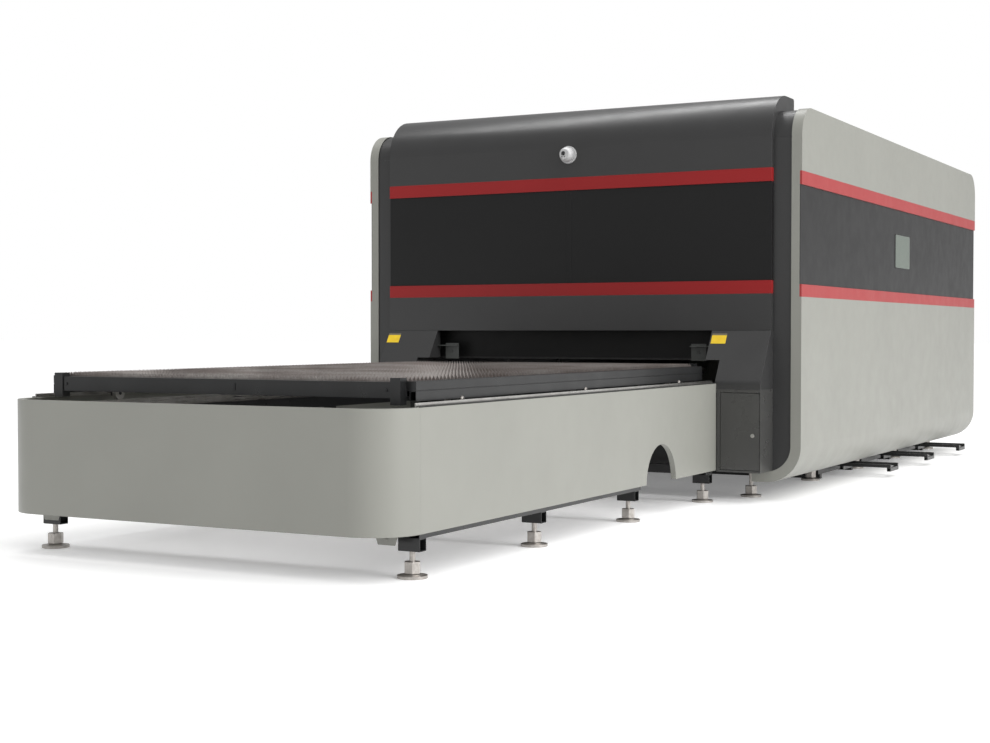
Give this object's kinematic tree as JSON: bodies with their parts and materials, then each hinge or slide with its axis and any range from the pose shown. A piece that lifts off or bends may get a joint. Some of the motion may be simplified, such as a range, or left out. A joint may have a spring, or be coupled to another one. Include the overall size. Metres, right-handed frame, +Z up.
{
  "type": "fiber laser cutting machine",
  "caption": "Enclosed flatbed laser cutter with a rounded cabin, a moving gantry and cutting head, an exchange table with a slatted pallet, and pull-out slag trays.",
  "frame": {"origin": "middle of the bottom of the whole machine's box, on the floor", "axes": "+Y from the exchange table towards the cabin's rear, +Z up, +X to the side where the slag trays pull out"},
  "size_m": [2.896, 8.198, 2.297],
  "materials": {
    "cabin_grey": "satin textured paint",
    "table_grey": "satin textured paint",
    "housing_dark": "satin textured paint",
    "stripe_red": "satin paint",
    "window_green": "tinted laser-safe acrylic",
    "frame_dark": "satin paint",
    "gantry_paint": "satin paint",
    "machined_steel": "ground",
    "slat_steel": "rolled, slightly scorched",
    "foot_steel": "zinc plated",
    "motor_black": "matt",
    "head_alloy": "anodised",
    "nozzle_brass": "turned"
  },
  "bodies": {
    "cabin": {"side_panel_right": "cabin_grey", "side_panel_left": "cabin_grey", "rear_wall": "cabin_grey", "table_front_panel": "table_grey", "table_side_panel_right": "table_grey", "table_side_panel_left": "table_grey", "roof_panel": "housing_dark", "front_wall": "housing_dark", "fascia_top": "housing_dark", "front_band_right": "housing_dark", "front_band_left": "housing_dark", "fascia_lower": "housing_dark", "side_bands": "housing_dark", "hood_right": "housing_dark", "hood_left": "housing_dark", "cabinet_right": "housing_dark", "cabinet_left": "housing_dark", "lifting_door_guides": "housing_dark", "side_stripes": "stripe_red", "front_stripes": "stripe_red", "side_windows": "window_green", "table_lower_beams": "frame_dark", "table_upper_beams": "frame_dark", "table_cross_members": "frame_dark", "table_posts": "frame_dark", "bed_beams": "frame_dark", "bed_cross_members": "frame_dark", "track_brackets": "frame_dark", "bed_rails": "machined_steel", "bed_racks": "machined_steel", "pallet_tracks": "machined_steel", "foot_pads": "foot_steel", "foot_studs": "foot_steel", "drive_motor": "motor_black", "camera_collar": "head_alloy"},
    "pallet": {"pallet_side_rails": "frame_dark", "pallet_end_beams": "frame_dark", "pallet_slats": "slat_steel"},
    "wheels_1": {"pallet_wheels_1": "machined_steel"},
    "wheels_2": {"pallet_wheels_2": "machined_steel"},
    "wheels_3": {"pallet_wheels_3": "machined_steel"},
    "drive": {"drive_shaft": "machined_steel"},
    "lift_door": {"lifting_door": "housing_dark"},
    "gantry": {"gantry_beam": "gantry_paint", "gantry_shoes": "machined_steel", "gantry_motors": "motor_black", "cross_rails": "machined_steel"},
    "pinion_right": {"gantry_pinion_right": "machined_steel"},
    "pinion_left": {"gantry_pinion_left": "machined_steel"},
    "carriage": {"cross_carriage": "gantry_paint"},
    "head": {"cutting_head": "head_alloy", "head_nozzle": "nozzle_brass"},
    "door_right": {"cabinet_door_right": "housing_dark"},
    "door_left": {"cabinet_door_left": "housing_dark"},
    "lock_right": {"door_lock_right": "machined_steel"},
    "lock_left": {"door_lock_left": "machined_steel"},
    "camera": {"camera_ball": "head_alloy"},
    "tray_1": {"slag_tray_1": "frame_dark"},
    "tray_2": {"slag_tray_2": "frame_dark"},
    "tray_3": {"slag_tray_3": "frame_dark"}
  },
  "joints": [
    {"name": "pallet_slide", "type": "slide", "parent": "cabin", "child": "pallet", "axis": [0, 1, 0], "range_m": [0, 3.7]},
    {"name": "wheels_1_spin", "type": "hinge", "parent": "pallet", "child": "wheels_1", "pos_m": [-0.028, -3.471, 0.6703], "axis": [1, 0, 0], "continuous": true},
    {"name": "wheels_2_spin", "type": "hinge", "parent": "pallet", "child": "wheels_2", "pos_m": [-0.028, -2.291, 0.6703], "axis": [1, 0, 0], "continuous": true},
    {"name": "wheels_3_spin", "type": "hinge", "parent": "pallet", "child": "wheels_3", "pos_m": [-0.028, -1.111, 0.6703], "axis": [1, 0, 0], "continuous": true},
    {"name": "drive_shaft_spin", "type": "hinge", "parent": "cabin", "child": "drive", "pos_m": [-0.028, -0.866, 0.42], "axis": [1, 0, 0], "continuous": true},
    {"name": "lifting_door_slide", "type": "slide", "parent": "cabin", "child": "lift_door", "axis": [0, 0, 1], "range_m": [0, 0.17]},
    {"name": "gantry_slide", "type": "slide", "parent": "cabin", "child": "gantry", "axis": [0, 1, 0], "range_m": [0, 3.2]},
    {"name": "pinion_right_spin", "type": "hinge", "parent": "gantry", "child": "pinion_right", "pos_m": [-0.028, -0.001, 0.9153], "axis": [1, 0, 0], "continuous": true},
    {"name": "pinion_left_spin", "type": "hinge", "parent": "gantry", "child": "pinion_left", "pos_m": [-0.028, -0.001, 0.9153], "axis": [1, 0, 0], "continuous": true},
    {"name": "carriage_slide", "type": "slide", "parent": "gantry", "child": "carriage", "axis": [1, 0, 0], "range_m": [-0.85, 0.85]},
    {"name": "head_slide", "type": "slide", "parent": "carriage", "child": "head", "axis": [0, 0, 1], "range_m": [-0.06, 0.06]},
    {"name": "door_right_hinge", "type": "hinge", "parent": "cabin", "child": "door_right", "pos_m": [1.002, -0.705, 0.4], "axis": [0, 0, -1], "range_deg": [0, 90]},
    {"name": "door_left_hinge", "type": "hinge", "parent": "cabin", "child": "door_left", "pos_m": [-1.058, -0.705, 0.4], "axis": [0, 0, 1], "range_deg": [0, 90]},
    {"name": "lock_right_turn", "type": "hinge", "parent": "door_right", "child": "lock_right", "pos_m": [1.183, -0.709, 0.378], "axis": [0, -1, 0], "range_deg": [0, 90]},
    {"name": "lock_left_turn", "type": "hinge", "parent": "door_left", "child": "lock_left", "pos_m": [-1.239, -0.709, 0.378], "axis": [0, -1, 0], "range_deg": [0, 90]},
    {"name": "camera_pan", "type": "hinge", "parent": "cabin", "child": "camera", "pos_m": [-0.028, -0.559, 2.004], "axis": [0, 0, 1], "range_deg": [-35, 35]},
    {"name": "tray_1_slide", "type": "slide", "parent": "cabin", "child": "tray_1", "axis": [1, 0, 0], "range_m": [0, 1.2]},
    {"name": "tray_2_slide", "type": "slide", "parent": "cabin", "child": "tray_2", "axis": [1, 0, 0], "range_m": [0, 1.2]},
    {"name": "tray_3_slide", "type": "slide", "parent": "cabin", "child": "tray_3", "axis": [1, 0, 0], "range_m": [0, 1.2]}
  ],
  "couplings": [
    {"joint": "wheels_1_spin", "follows": "pallet_slide", "rad_per_m": -33.333},
    {"joint": "wheels_2_spin", "follows": "pallet_slide", "rad_per_m": -33.333},
    {"joint": "wheels_3_spin", "follows": "pallet_slide", "rad_per_m": -33.333},
    {"joint": "drive_shaft_spin", "follows": "pallet_slide", "rad_per_m": -18.182},
    {"joint": "pinion_right_spin", "follows": "gantry_slide", "rad_per_m": -33.333},
    {"joint": "pinion_left_spin", "follows": "gantry_slide", "rad_per_m": -33.333}
  ]
}
